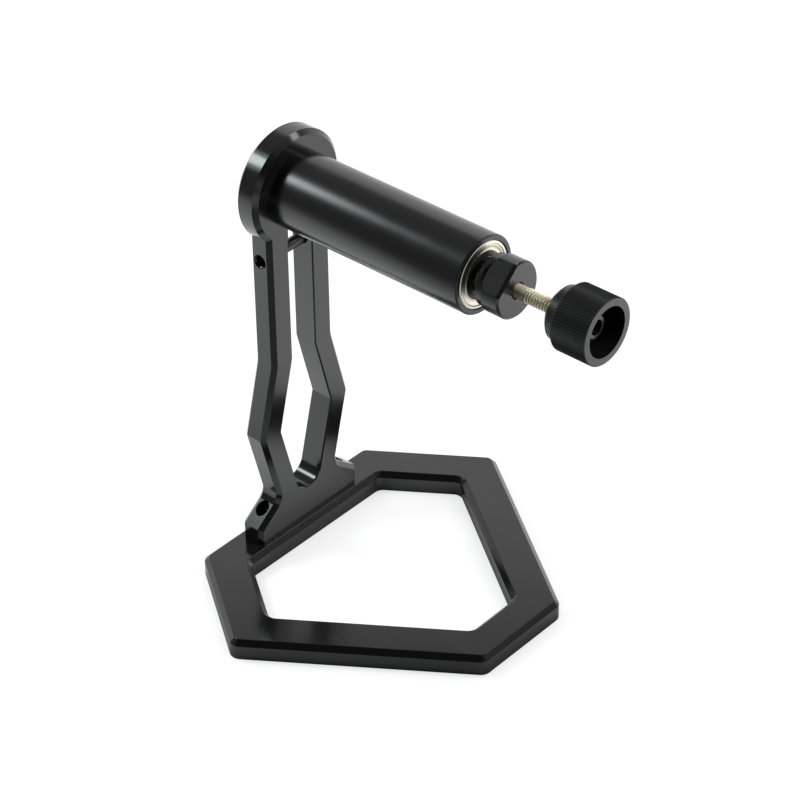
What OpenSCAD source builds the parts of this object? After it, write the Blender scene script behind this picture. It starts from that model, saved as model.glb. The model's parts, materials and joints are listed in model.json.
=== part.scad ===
// Bench stand for balancing model car wheels.
// A flat hexagonal base ring carries a two-legged upright. The split head of the upright clamps a tube,
// and a free-running spindle in the tube holds the wheel between a hub and a hand knob.
// The origin lies on the underside of the base, below the middle of the upright.
// X runs across, Z up, and the spindle points forward along -Y.

/* [Base frame] */
// Thickness of the base plate
base_t = 6.9; // [6:0.1:8]
// Chamfer along the top edges of the base
base_chamfer = 1.7; // [0.8:0.1:2.2]
// Half of the rear bar's outer length
base_rear_half = 38.5; // [34:0.5:44]
// Half of the greatest width, at the side corners
base_side_half = 64.3; // [58:0.1:70]
// Half of the front bar's outer length
base_front_half = 18.4; // [16:0.2:24]
// Distance of the side corners in front of the upright
side_corner_depth = 29.9; // [24:0.1:36]
// Distance of the front bar's outer edge in front of the upright
base_front_depth = 95.6; // [88:0.2:104]
// Distance of the base's rear edge behind the upright's middle
base_rear_reach = 7.3; // [6.8:0.1:9]
// Width of the rear bar, which the upright stands on
rear_bar_w = 14.4; // [13.8:0.1:17]
// Width of the four slanted bars
slanted_bar_w = 14.5; // [12:0.5:16]
// Width of the front bar
front_bar_w = 13; // [11:0.5:16]
// Radius of the outer corners
base_corner_r = 4; // [3:0.5:7]
// Radius of the corners of the opening
opening_corner_r = 3.5; // [2.5:0.5:6]

/* [Upright] */
// Thickness of the upright plate
plate_t = 8.7; // [7.8:0.1:9.6]
// Chamfer along the outer contour of the upright
plate_chamfer = 1.5; // [0.8:0.1:1.8]
// Width of the slot between the straight stretches of the legs
slot_w = 10.5; // [9:0.1:12]
// Small chamfer along the edges of the slot
slot_chamfer = 0.4; // [0.2:0.1:0.6]
// Width of each leg
leg_w = 8.5; // [7.5:0.1:9]
// Height at which the legs begin to bow apart
bow_top_z = 72.3; // [68:0.1:78]
// Height at which the legs stand widest apart
bow_mid_z = 47; // [43:0.5:50]
// How far each leg bows outward
bow_out = 6.5; // [5.5:0.1:7]
// Height of the bottom of the slot
slot_end_z = 18.6; // [17.5:0.1:20]
// Half of the foot's width
foot_half = 23.4; // [22.8:0.1:26]
// Height of the foot's upright sides
foot_side_h = 6.2; // [5.4:0.1:6.6]
// Slope of the foot's shoulders, in degrees
shoulder_slope = 37.5; // [34:0.5:40]
// Radius of the hollow between each leg and its shoulder
foot_fillet_r = 5; // [3:0.5:6]

/* [Head and tube] */
// Height of the spindle's axis above the base's underside
axis_z = 132.7; // [126:0.1:140]
// Diameter of the round head
head_d = 38.2; // [36:0.2:42]
// Outer diameter of the tube
tube_d = 25.4; // [25:0.1:27]
// Distance of the tube's front end in front of the upright
tube_reach = 78.6; // [70:0.2:82]
// Length of tube that stands out behind the head
tube_stub = 1; // [0.5:0.1:3]
// Bore of the tube between the bearing seats
tube_bore_d = 18.6; // [18.2:0.1:19.5]
// Chamfer on the ends of the tube
tube_edge = 0.35; // [0.2:0.05:0.6]
// Gap between the tube and the head that clamps it
clamp_gap = 0.02; // [0.01:0.01:0.05]

/* [Bearings] */
// Outer diameter of the ball bearings
bearing_od = 22; // [21.6:0.1:22.4]
// Bore of the ball bearings
bearing_id = 8; // [7.6:0.1:8.2]
// Width of the ball bearings
bearing_w = 7; // [6.8:0.1:8]
// Diameter of the balls
ball_d = 3.96; // [3.7:0.02:4]
// Number of balls in each bearing
ball_count = 7; // [6:1:8]
// Outer diameter of the inner ring's shoulders
inner_land_d = 12.4; // [12:0.1:12.8]
// Inner diameter of the outer ring's shoulders
outer_land_d = 17.8; // [17.4:0.1:18]
// Gap between a ball and its groove
ball_gap = 0.05; // [0.03:0.01:0.08]
// Thickness of the bearing shields
shield_t = 0.4; // [0.3:0.05:0.5]
// How deep the shields lie inside the bearings' faces
shield_recess = 0.5; // [0.3:0.05:0.6]
// Depth of the groove that holds a shield's rim
shield_groove = 0.3; // [0.2:0.05:0.4]
// Gap between a shield and the inner ring
shield_gap = 0.3; // [0.25:0.05:0.5]
// Gap between the cage and the rings' shoulders
cage_gap = 0.55; // [0.4:0.05:0.7]
// Width of the cage beside the balls
cage_rim = 0.2; // [0.1:0.05:0.3]
// How far the bearings lie inside the tube's ends
bearing_recess = 0.15; // [0.05:0.05:0.5]

/* [Spindle] */
// Gap between pieces that are pushed or screwed together
seat_gap = 0.01; // [0.01:0.01:0.03]
// Length of shaft behind the rear bearing
shaft_tail = 2.2; // [2:0.1:4]
// Thickness of the retaining ring
ring_t = 0.9; // [0.7:0.1:1.1]
// Outer diameter of the retaining ring
ring_d = 11; // [10.5:0.1:12]
// Depth of the retaining ring's groove in the shaft
ring_groove = 0.5; // [0.3:0.05:0.7]
// Outer diameter of the spacer between the inner rings
spacer_d = 11.4; // [10.5:0.1:12]
// Diameter of the hub that the wheel sits against
hub_d = 18.5; // [17.5:0.1:20]
// Distance of the hub's front face, against which a wheel sits, from the tube's end
hub_out = 12.7; // [11:0.1:15]
// Length of the hub's full diameter
hub_l = 6.4; // [5.5:0.1:6.6]
// Diameter of the hub's rear step
hub_step_d = 16; // [14:0.1:17]
// Length of the hub's rear step
hub_step_l = 3; // [2:0.1:3.5]
// Diameter of the boss that bears on the front bearing
boss_d = 11.6; // [11:0.1:12]
// Chamfer on the hub's front edge
hub_edge = 0.6; // [0.3:0.1:1]
// Depth of the flat on the hub
flat_depth = 1.7; // [1:0.1:2]
// Length of the flat, from the front face
flat_l = 6.5; // [4:0.1:6.6]
// Direction that the flat faces, in degrees above the right-hand side
flat_angle = 132; // [0:1:359]
// Depth at which the shaft's front end lies inside the hub
shaft_inset = 3; // [2:0.1:4]

/* [Stud and knob] */
// Outer diameter of the stud's thread
stud_d = 4.83; // [4.4:0.01:5.2]
// Pitch of the stud's thread
thread_pitch = 1.06; // [0.7:0.01:1.3]
// Length of stud in front of the hub
stud_out = 22.9; // [21:0.1:25]
// Length of stud screwed into the shaft
stud_in = 8; // [6:0.1:12]
// Width of the gap round the stud in the hub's face
stud_hole_gap = 0.35; // [0.2:0.05:0.6]
// Running gap between the knob's thread and the stud
thread_gap = 0.05; // [0.03:0.01:0.1]
// Distance between the hub's face and the knob's collar
knob_standoff = 15.7; // [15.6:0.1:18]
// Outer diameter of the knob, over the knurl
knob_d = 21.4; // [20:0.1:23]
// Height of the knurl's crests above the knob's plain body
knurl_h = 0.1; // [0.1:0.05:0.4]
// Length of the knob's knurled part
knob_l = 12.6; // [11:0.1:14]
// Chamfer on the knob's edges
knob_edge = 0.2; // [0.1:0.1:0.6]
// Diameter of the collar behind the knob
collar_d = 17.6; // [16:0.1:18]
// Length of the collar
collar_l = 4.6; // [4:0.1:5.5]
// Bevel on the collar's rear edge
collar_edge = 1.2; // [0.4:0.1:1.6]
// Diameter of the recess in the knob's front
recess_d = 16.2; // [15:0.1:17]
// Depth of the recess
recess_depth = 11; // [9:0.1:11.5]
// Outer diameter of the threaded bush in the knob
bush_d = 7.2; // [6.8:0.1:8]
// Depth of the bush's end below the knob's front
bush_depth = 3.8; // [3:0.1:6]
// Gap between the bush and the knob
bush_gap = 0.03; // [0.02:0.01:0.06]

/* [Screws] */
// Diameter of the clamp screw
clamp_d = 3.9; // [3.4:0.1:4.1]
// Height of the clamp screw above the base's underside
clamp_z = 110.9; // [105:0.1:112]
// Diameter of the clamp screw's head
clamp_head_d = 7; // [6:0.1:7.4]
// Length of the clamp screw's head
clamp_head_l = 4; // [3:0.1:5]
// Depth of the screw's end below the left leg's side
clamp_end_depth = 3.2; // [2:0.1:4]
// Clearance round the clamp screw in the right leg
clamp_clear = 0.3; // [0.2:0.05:0.4]
// Width of the countersink at the mouth of the left leg's hole
clamp_mouth = 0.55; // [0.3:0.05:0.8]
// Distance of the foot screws from the middle
foot_screw_x = 17.8; // [17:0.1:18.5]
// Diameter of the foot screws, which come up through the base
foot_screw_d = 4.5; // [4:0.1:4.8]
// Diameter of the foot screws' countersunk heads
foot_head_d = 9.4; // [8.6:0.1:9.8]
// Depth of the heads below the base's underside
foot_head_inset = 0.2; // [0.1:0.1:0.5]
// Clearance round the foot screws in the base
foot_clear = 0.25; // [0.15:0.05:0.35]
// Length of thread that the foot screws take in the foot
foot_grip = 5; // [4:0.1:6]
// Clamp screw's hexagon socket, across flats
clamp_socket = 3; // [2.5:0.1:3.6]
// Foot screws' hexagon sockets, across flats
foot_socket = 3; // [2.5:0.1:3.2]
// Depth of the hexagon sockets
socket_depth = 1.8; // [1.2:0.1:2.2]

/* [Hidden] */

round_fn = 96;
// Overshoot of cutting tools
cut = 1;

// Base frame outline, counter-clockwise seen from above, starting at the left rear corner
base_outline = [
    [-base_rear_half, base_rear_reach],
    [-base_side_half, -side_corner_depth],
    [-base_front_half, -base_front_depth],
    [base_front_half, -base_front_depth],
    [base_side_half, -side_corner_depth],
    [base_rear_half, base_rear_reach]
];
bar_widths = [slanted_bar_w, slanted_bar_w, front_bar_w, slanted_bar_w, slanted_bar_w, rear_bar_w];
opening_outline = inset(base_outline, bar_widths);

// Upright
leg_out = slot_w / 2 + leg_w;
bow_lean = bow_out / (bow_top_z - bow_mid_z);
leg_normal = [1, -bow_lean] / norm([1, bow_lean]);
shoulder_normal = [sin(shoulder_slope), cos(shoulder_slope)];
// The legs begin inside the foot and end inside the head
leg_foot_z = slot_end_z;
leg_head_z = axis_z - head_d / 5;
slot_end_half = slot_w / 2 + bow(slot_end_z);
slot_end_r = leg_normal.x * slot_end_half / (1 - leg_normal.x * bow_lean);
slot_end_centre = slot_end_z + slot_end_r;
slot_tangent = [slot_end_r * leg_normal.x, slot_end_centre + slot_end_r * leg_normal.y];
shoulder_foot = [foot_half, base_t + foot_side_h];
leg_point = [leg_out + bow(slot_end_z), slot_end_z];
shoulder_top = meet(leg_normal, leg_normal * leg_point, shoulder_normal, shoulder_normal * shoulder_foot);
foot_hole_r = foot_screw_d / 2 + foot_clear;
foot_sink_r = foot_head_d / 2 + foot_head_inset + seat_gap;
// Keeps a round corner from only grazing the flat faces beside it
tangent_bite = 0.02;

// Places along the spindle, as distances in front of the upright's middle plane
tube_back = -plate_t / 2 - tube_stub;
front_bearing = tube_reach - bearing_recess - bearing_w / 2;
rear_bearing = tube_back + bearing_recess + bearing_w / 2;
boss_back = front_bearing + bearing_w / 2;
hub_front = tube_reach + hub_out;
ring_front = rear_bearing - bearing_w / 2;
shaft_back = ring_front - shaft_tail;
shaft_front = hub_front - shaft_inset;
stud_back = shaft_front - stud_in;
stud_front = hub_front + stud_out;
knob_back = hub_front + knob_standoff;
knurl_back = knob_back + collar_l;
knob_front = knurl_back + knob_l;
recess_floor = knob_front - recess_depth;
bush_back = knob_back + bush_gap;
bush_front = knob_front - bush_depth;
pitch_r = (inner_land_d + outer_land_d) / 4;
groove_r = ball_d / 2 + ball_gap;
shield_seat = bearing_w / 2 - shield_recess - shield_t;
shield_r = outer_land_d / 2 + shield_groove;
cage_half = ball_d / 2 + cage_rim;

// Sideways bow of the legs at a height
function bow(z) =
    z >= bow_top_z ? 0
    : z >= bow_mid_z ? bow_lean * (bow_top_z - z)
    : bow_out - bow_lean * (bow_mid_z - z);

// Point where the lines n1 . p = d1 and n2 . p = d2 cross
function meet(n1, d1, n2, d2) =
    let (det = n1.x * n2.y - n1.y * n2.x)
    [(d1 * n2.y - d2 * n1.y) / det, (n1.x * d2 - n2.x * d1) / det];

// Inward normal of an edge of a counter-clockwise outline
function inward(a, b) = [a.y - b.y, b.x - a.x] / norm(b - a);

// Outline with each edge moved inward by its own width
function inset(outline, widths) =
    let (n = len(outline))
    [for (i = [0 : n - 1])
        let (
            here = outline[i],
            last = (i + n - 1) % n,
            n1 = inward(outline[last], here),
            n2 = inward(here, outline[(i + 1) % n])
        )
        meet(n1, n1 * here + widths[last], n2, n2 * here + widths[i])];

function same_widths(width, count) = [for (i = [1 : count]) width];

// Outline in the XZ plane, as points of space at the depth y
function standing(outline, y) = [for (p = outline) [p.x, y, p.y]];

// Solid through a row of rings that have the same number of points
module lofted(rings) {
    n = len(rings[0]);
    last = len(rings) - 1;
    sides = [for (k = [0 : last - 1], i = [0 : n - 1])
        [k * n + i, (k + 1) * n + i, (k + 1) * n + (i + 1) % n, k * n + (i + 1) % n]];
    first_cap = [for (i = [0 : n - 1]) i];
    last_cap = [for (i = [n - 1 : -1 : 0]) last * n + i];
    polyhedron(points = [for (ring = rings) each ring], faces = concat([first_cap], sides, [last_cap]));
}

// Convex block with rounded upright corners: each level gives the outline's inset and its height
module rounded_block(outline, corner_r, levels) {
    n = len(outline);
    low = levels[0];
    high = levels[len(levels) - 1];
    centres = inset(outline, same_widths(corner_r, n));
    arc_r = corner_r + tangent_bite;
    reach = 3 * corner_r;
    difference() {
        lofted([for (level = levels)
            [for (p = inset(outline, same_widths(level.x, n))) [p.x, p.y, level.y]]]);
        for (i = [0 : n - 1]) {
            c = centres[i];
            n1 = inward(outline[(i + n - 1) % n], outline[i]);
            n2 = inward(outline[i], outline[(i + 1) % n]);
            difference() {
                translate([0, 0, low.y - cut])
                    linear_extrude(high.y - low.y + 2 * cut)
                        polygon([
                            c,
                            c - reach * n1,
                            meet(n1, n1 * c - reach, n2, n2 * c - reach),
                            c - reach * n2
                        ]);
                translate(c)
                    rotate_extrude($fn = round_fn)
                        polygon(concat(
                            [[0, low.y - 2 * cut], [arc_r - low.x, low.y - 2 * cut]],
                            [for (level = levels) [arc_r - level.x, level.y]],
                            [[arc_r - high.x, high.y + 2 * cut], [0, high.y + 2 * cut]]
                        ));
            }
        }
    }
}

// Round hole along Y through the upright plate, flared at both faces
module flared_hole(r, flare) {
    edge_y = plate_t / 2 - flare;
    wide_r = r + flare + cut;
    rotate([90, 0, 0])
        rotate_extrude($fn = round_fn)
            polygon([
                [0, -plate_t / 2 - cut],
                [wide_r, -plate_t / 2 - cut],
                [r, -edge_y],
                [r, edge_y],
                [wide_r, plate_t / 2 + cut],
                [0, plate_t / 2 + cut]
            ]);
}

// Turned piece on the spindle's axis: its profile is [radius, distance in front of the upright]
module turned() {
    translate([0, 0, axis_z])
        rotate([90, 0, 0])
            rotate_extrude($fn = round_fn)
                children();
}

// Turned ring of a rectangular profile
module turned_ring(inner_r, outer_r, back, front) {
    turned()
        translate([inner_r, back])
            square([outer_r - inner_r, front - back]);
}

module base_frame() {
    shoulder_z = base_t - base_chamfer;
    color("#232326")
    difference() {
        rounded_block(base_outline, base_corner_r, [[0, 0], [0, shoulder_z], [base_chamfer, base_t]]);
        rounded_block(opening_outline, opening_corner_r,
            [[0, -cut], [0, shoulder_z], [-base_chamfer - cut, base_t + cut]]);
        for (side = [-1, 1])
            translate([side * foot_screw_x, 0, -cut]) {
                cylinder(h = base_t + 2 * cut, r = foot_hole_r, $fn = round_fn);
                cylinder(h = foot_sink_r - foot_hole_r + cut, r1 = foot_sink_r + cut, r2 = foot_hole_r,
                    $fn = round_fn);
            }
    }
}

// Cross-section of the right leg at a height
function leg_ring(z) =
    let (
        inner = slot_w / 2 + bow(z),
        outer = leg_out + bow(z),
        front = -plate_t / 2,
        back = plate_t / 2
    )
    [
        [inner + slot_chamfer, front, z],
        [outer - plate_chamfer, front, z],
        [outer, front + plate_chamfer, z],
        [outer, back - plate_chamfer, z],
        [outer - plate_chamfer, back, z],
        [inner + slot_chamfer, back, z],
        [inner, back - slot_chamfer, z],
        [inner, front + slot_chamfer, z]
    ];

module right_leg() {
    lofted([for (z = [leg_foot_z, bow_mid_z, bow_top_z, leg_head_z]) leg_ring(z)]);
}

// Foot with chamfered sides and shoulders, before the slot's round end is cut out
module foot_block() {
    half = [[foot_half, base_t], shoulder_foot, shoulder_top, slot_tangent];
    n = len(half);
    wide = concat(half, [for (i = [1 : n]) [-half[n - i].x, half[n - i].y]]);
    narrow = inset(wide, concat(same_widths(plate_chamfer, 2 * n - 1), [0]));
    edge_y = plate_t / 2 - plate_chamfer;
    lofted([
        standing(narrow, plate_t / 2),
        standing(wide, edge_y),
        standing(wide, -edge_y),
        standing(narrow, -plate_t / 2)
    ]);
}

// Hollow between the right leg and its shoulder, rounded and chamfered like the edges beside it
module foot_fillet() {
    r = foot_fillet_r;
    deep = plate_chamfer + tangent_bite;
    leg_d = leg_normal * shoulder_top;
    shoulder_d = shoulder_normal * shoulder_top;
    centre = meet(leg_normal, leg_d + r, shoulder_normal, shoulder_d + r);
    corner = meet(leg_normal, leg_d - deep, shoulder_normal, shoulder_d - deep);
    difference() {
        rotate([90, 0, 0])
            linear_extrude(plate_t, center = true)
                polygon([
                    centre - r * leg_normal,
                    centre - (r + deep) * leg_normal,
                    corner,
                    centre - (r + deep) * shoulder_normal,
                    centre - r * shoulder_normal
                ]);
        translate([centre.x, 0, centre.y])
            flared_hole(r + tangent_bite, plate_chamfer);
    }
}

module head_disc() {
    r = head_d / 2;
    half = plate_t / 2;
    turned()
        polygon([
            [0, -half],
            [r - plate_chamfer, -half],
            [r, plate_chamfer - half],
            [r, half - plate_chamfer],
            [r - plate_chamfer, half],
            [0, half]
        ]);
}

module upright() {
    mouth_r = clamp_d / 2 + seat_gap;
    color("#232326")
    difference() {
        union() {
            difference() {
                head_disc();
                translate([-slot_w / 2, -plate_t, axis_z - head_d])
                    cube([slot_w, 2 * plate_t, head_d]);
            }
            foot_block();
            for (side = [0, 1])
                mirror([side, 0, 0]) {
                    right_leg();
                    foot_fillet();
                }
        }
        // Bore for the tube
        turned()
            translate([0, -plate_t])
                square([tube_d / 2 + clamp_gap, 2 * plate_t]);
        // Round end of the slot
        translate([0, 0, slot_end_centre])
            flared_hole(slot_end_r - tangent_bite, slot_chamfer);
        // Clamp screw: clear of the right leg, threaded into the left leg
        translate([0, 0, clamp_z])
            rotate([0, 90, 0])
                cylinder(h = leg_out + bow_out, d = clamp_d + 2 * clamp_clear, $fn = round_fn);
        translate([0, 0, clamp_z])
            rotate([0, -90, 0]) {
                cylinder(h = leg_out + cut, r = mouth_r, $fn = round_fn);
                translate([0, 0, leg_out - clamp_mouth])
                    cylinder(h = 2 * clamp_mouth, r1 = mouth_r, r2 = mouth_r + 2 * clamp_mouth,
                        $fn = round_fn);
            }
        // Threaded holes for the foot screws, open at the shoulders
        for (side = [-1, 1])
            translate([side * foot_screw_x, 0, 0])
                cylinder(h = shoulder_top.y + 2 * cut, d = foot_screw_d + 2 * seat_gap, $fn = round_fn);
    }
}

module bearing_tube() {
    r = tube_d / 2;
    seat_r = bearing_od / 2 + seat_gap;
    bore_r = tube_bore_d / 2;
    front_step = front_bearing - bearing_w / 2;
    rear_step = rear_bearing + bearing_w / 2;
    color("#232326")
    turned()
        polygon([
            [seat_r, tube_back],
            [r - tube_edge, tube_back],
            [r, tube_back + tube_edge],
            [r, tube_reach - tube_edge],
            [r - tube_edge, tube_reach],
            [seat_r, tube_reach],
            [seat_r, front_step],
            [bore_r, front_step],
            [bore_r, rear_step],
            [seat_r, rear_step]
        ]);
}

// Hexagon socket that opens downward at the origin
module hex_socket(across) {
    translate([0, 0, -cut])
        cylinder(h = socket_depth + cut, d = across / cos(30), $fn = 6);
}

module clamp_screw() {
    color("#1b1b1d")
    translate([leg_out, 0, clamp_z])
        rotate([0, -90, 0])
            difference() {
                union() {
                    translate([0, 0, -clamp_head_l])
                        cylinder(h = clamp_head_l, d = clamp_head_d, $fn = round_fn);
                    translate([0, 0, -cut])
                        cylinder(h = 2 * leg_out - clamp_end_depth + cut, d = clamp_d, $fn = round_fn);
                }
                translate([0, 0, -clamp_head_l])
                    hex_socket(clamp_socket);
            }
}

module foot_screws() {
    r = foot_screw_d / 2;
    head_l = foot_head_d / 2 - r;
    color("#1b1b1d")
    for (side = [-1, 1])
        translate([side * foot_screw_x, 0, foot_head_inset])
            difference() {
                rotate_extrude($fn = round_fn)
                    polygon([
                        [0, 0],
                        [foot_head_d / 2, 0],
                        [r, head_l],
                        [r, base_t + foot_grip - foot_head_inset],
                        [0, base_t + foot_grip - foot_head_inset]
                    ]);
                hex_socket(foot_socket);
            }
}

module outer_ring(middle) {
    half = bearing_w / 2;
    land_r = outer_land_d / 2;
    color("#c9c4ba")
    difference() {
        turned()
            polygon([
                [land_r, middle - shield_seat],
                [shield_r, middle - shield_seat],
                [shield_r, middle - half],
                [bearing_od / 2, middle - half],
                [bearing_od / 2, middle + half],
                [shield_r, middle + half],
                [shield_r, middle + shield_seat],
                [land_r, middle + shield_seat]
            ]);
        ball_groove(middle);
    }
}

module inner_ring(middle) {
    color("#c9c4ba")
    difference() {
        turned_ring(bearing_id / 2, inner_land_d / 2, middle - bearing_w / 2, middle + bearing_w / 2);
        ball_groove(middle);
    }
}

module ball_groove(middle) {
    turned()
        translate([pitch_r, middle])
            circle(r = groove_r, $fn = round_fn);
}

// Places its children at each ball of a bearing
module at_balls(middle) {
    for (i = [0 : ball_count - 1])
        translate([0, -middle, axis_z])
            rotate([0, i * 360 / ball_count, 0])
                translate([pitch_r, 0, 0])
                    children();
}

module balls(middle) {
    color("#d8d8d8")
    at_balls(middle)
        sphere(d = ball_d, $fn = round_fn);
}

module cage(middle) {
    color("#b0a890")
    difference() {
        turned_ring(inner_land_d / 2 + cage_gap, outer_land_d / 2 - cage_gap,
            middle - cage_half, middle + cage_half);
        at_balls(middle)
            rotate([0, 90, 0])
                cylinder(h = pitch_r, r = groove_r, center = true, $fn = round_fn);
    }
}

module shields(middle) {
    inner_r = inner_land_d / 2 + shield_gap;
    outer_r = shield_r - seat_gap;
    color("#b9b2a4") {
        turned_ring(inner_r, outer_r, middle + shield_seat, middle + shield_seat + shield_t);
        turned_ring(inner_r, outer_r, middle - shield_seat - shield_t, middle - shield_seat);
    }
}

module spindle_shaft() {
    r = bearing_id / 2 - seat_gap;
    groove_r = r - ring_groove;
    color("#c2c2c0")
    turned()
        polygon([
            [0, shaft_back],
            [r, shaft_back],
            [r, ring_front - ring_t],
            [groove_r, ring_front - ring_t],
            [groove_r, ring_front],
            [r, ring_front],
            [r, shaft_front],
            [stud_d / 2 + seat_gap, shaft_front],
            [stud_d / 2 + seat_gap, stud_back],
            [0, stud_back]
        ]);
}

module bearing_spacer() {
    color("#b8b8b6")
    turned_ring(bearing_id / 2 + seat_gap, spacer_d / 2,
        rear_bearing + bearing_w / 2, front_bearing - bearing_w / 2);
}

module retaining_ring() {
    inner_r = bearing_id / 2 - ring_groove;
    color("#2a2a2a")
    translate([0, 0, axis_z])
        rotate([90, 0, 0])
            rotate(-60)
                rotate_extrude(angle = 300, $fn = round_fn)
                    translate([inner_r, ring_front - ring_t])
                        square([ring_d / 2 - inner_r, ring_t]);
}

module hub() {
    r = hub_d / 2;
    hub_back = hub_front - hub_l;
    step_back = hub_back - hub_step_l;
    color("#1f1f22")
    difference() {
        turned()
            polygon([
                [bearing_id / 2, boss_back],
                [boss_d / 2, boss_back],
                [boss_d / 2, step_back],
                [hub_step_d / 2, step_back],
                [hub_step_d / 2, hub_back],
                [r, hub_back],
                [r, hub_front - hub_edge],
                [r - hub_edge, hub_front],
                [stud_d / 2 + stud_hole_gap, hub_front],
                [stud_d / 2 + stud_hole_gap, shaft_front],
                [bearing_id / 2, shaft_front]
            ]);
        translate([0, 0, axis_z])
            rotate([0, -flat_angle, 0])
                translate([r - flat_depth, -hub_front, -hub_d]) {
                    translate([0, -cut, 0])
                        cube([hub_d, flat_l + cut, 2 * hub_d]);
                    // The front chamfer goes along the flat too
                    translate([0, hub_edge, 0])
                        rotate(-45)
                            translate([0, -2 * hub_edge, 0])
                                cube([2 * hub_edge, 4 * hub_edge, 2 * hub_d]);
                }
    }
}

module stud() {
    edge = thread_pitch / 2;
    color("#cfc8b8")
    turned()
        polygon([
            [0, stud_back],
            [stud_d / 2, stud_back],
            [stud_d / 2, stud_front - edge],
            [stud_d / 2 - edge, stud_front],
            [0, stud_front]
        ]);
}

module knob() {
    r = knob_d / 2 - knurl_h;
    collar_r = collar_d / 2;
    bore_r = bush_d / 2 + bush_gap;
    color("#1f1f22")
    turned()
        polygon([
            [bore_r, knob_back],
            [collar_r - collar_edge, knob_back],
            [collar_r, knob_back + collar_edge],
            [collar_r, knurl_back],
            [r - knob_edge, knurl_back],
            [r, knurl_back + knob_edge],
            [r, knob_front - knob_edge],
            [r - knob_edge, knob_front],
            [recess_d / 2, knob_front],
            [recess_d / 2, recess_floor],
            [bore_r, recess_floor]
        ]);
}

module knob_bush() {
    color("#26262a")
    turned_ring(stud_d / 2 + thread_gap, bush_d / 2, bush_back, bush_front);
}

base_frame();
upright();
bearing_tube();
clamp_screw();
foot_screws();
outer_ring(front_bearing);  // front_outer_ring
inner_ring(front_bearing);  // front_inner_ring
balls(front_bearing);  // front_balls
cage(front_bearing);  // front_cage
shields(front_bearing);  // front_shields
outer_ring(rear_bearing);  // rear_outer_ring
inner_ring(rear_bearing);  // rear_inner_ring
balls(rear_bearing);  // rear_balls
cage(rear_bearing);  // rear_cage
shields(rear_bearing);  // rear_shields
spindle_shaft();
bearing_spacer();
retaining_ring();
hub();
stud();
knob();
knob_bush();
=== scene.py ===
"""Finishes, fine form, light and camera of a wheel balancing stand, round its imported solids."""

from __future__ import annotations

import json
import logging
import math
from dataclasses import dataclass, field, replace
from enum import Enum
from typing import Iterable, Union

import bmesh
import bpy
from mathutils import Matrix, Vector

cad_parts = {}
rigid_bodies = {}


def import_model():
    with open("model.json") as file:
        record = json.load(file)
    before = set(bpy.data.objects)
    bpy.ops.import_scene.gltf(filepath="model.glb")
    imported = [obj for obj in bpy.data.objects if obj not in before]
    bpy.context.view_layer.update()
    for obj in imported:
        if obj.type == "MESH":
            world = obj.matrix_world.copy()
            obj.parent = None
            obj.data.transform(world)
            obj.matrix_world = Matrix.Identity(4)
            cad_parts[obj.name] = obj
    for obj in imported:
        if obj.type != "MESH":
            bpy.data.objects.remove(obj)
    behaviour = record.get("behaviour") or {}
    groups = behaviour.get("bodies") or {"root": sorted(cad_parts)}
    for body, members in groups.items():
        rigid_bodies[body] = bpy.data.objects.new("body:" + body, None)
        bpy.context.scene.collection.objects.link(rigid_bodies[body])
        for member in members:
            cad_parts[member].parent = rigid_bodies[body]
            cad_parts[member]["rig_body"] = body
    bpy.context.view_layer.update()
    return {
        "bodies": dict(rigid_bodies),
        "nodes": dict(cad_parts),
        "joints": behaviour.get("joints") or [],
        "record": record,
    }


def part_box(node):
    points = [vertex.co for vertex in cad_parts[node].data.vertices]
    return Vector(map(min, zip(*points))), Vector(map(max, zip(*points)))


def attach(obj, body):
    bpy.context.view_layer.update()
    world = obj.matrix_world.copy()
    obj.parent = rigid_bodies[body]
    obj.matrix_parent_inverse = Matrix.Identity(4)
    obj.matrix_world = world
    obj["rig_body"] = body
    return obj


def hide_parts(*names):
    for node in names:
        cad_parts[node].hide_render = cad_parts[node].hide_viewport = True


LOG = logging.getLogger("wheel_balancing_stand")
MM = 0.001
MERGE_GAP = 0.002 * MM
HEAD_HEIGHT_MM = 140.0

# Edges are lost below the first angle, broken above the second and shaded sharp above the third
LEVEL_ANGLE = math.radians(0.5)
BREAK_ANGLE = math.radians(25)
CREASE_ANGLE = math.radians(40)

# A finish has fine grain in its tone and bump, and broad grain in its roughness
FINE_LAYERS = 4.0
BROAD_LAYERS = 3.0
BROAD_GRAIN_MM = 22.0
BROAD_RANGE = (0.3, 0.7)
BUMP_HEIGHT_MM = 0.01

Piece = bpy.types.Object
Socket = bpy.types.NodeSocket
Feed = Union[float, Socket]
Colour = tuple[float, float, float, float]
Outline = list[tuple[float, float]]


class Grain(Enum):
    """How the fine tool marks of a finish run over the piece."""

    EVEN = "even"
    TURNED = "turned"


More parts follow.
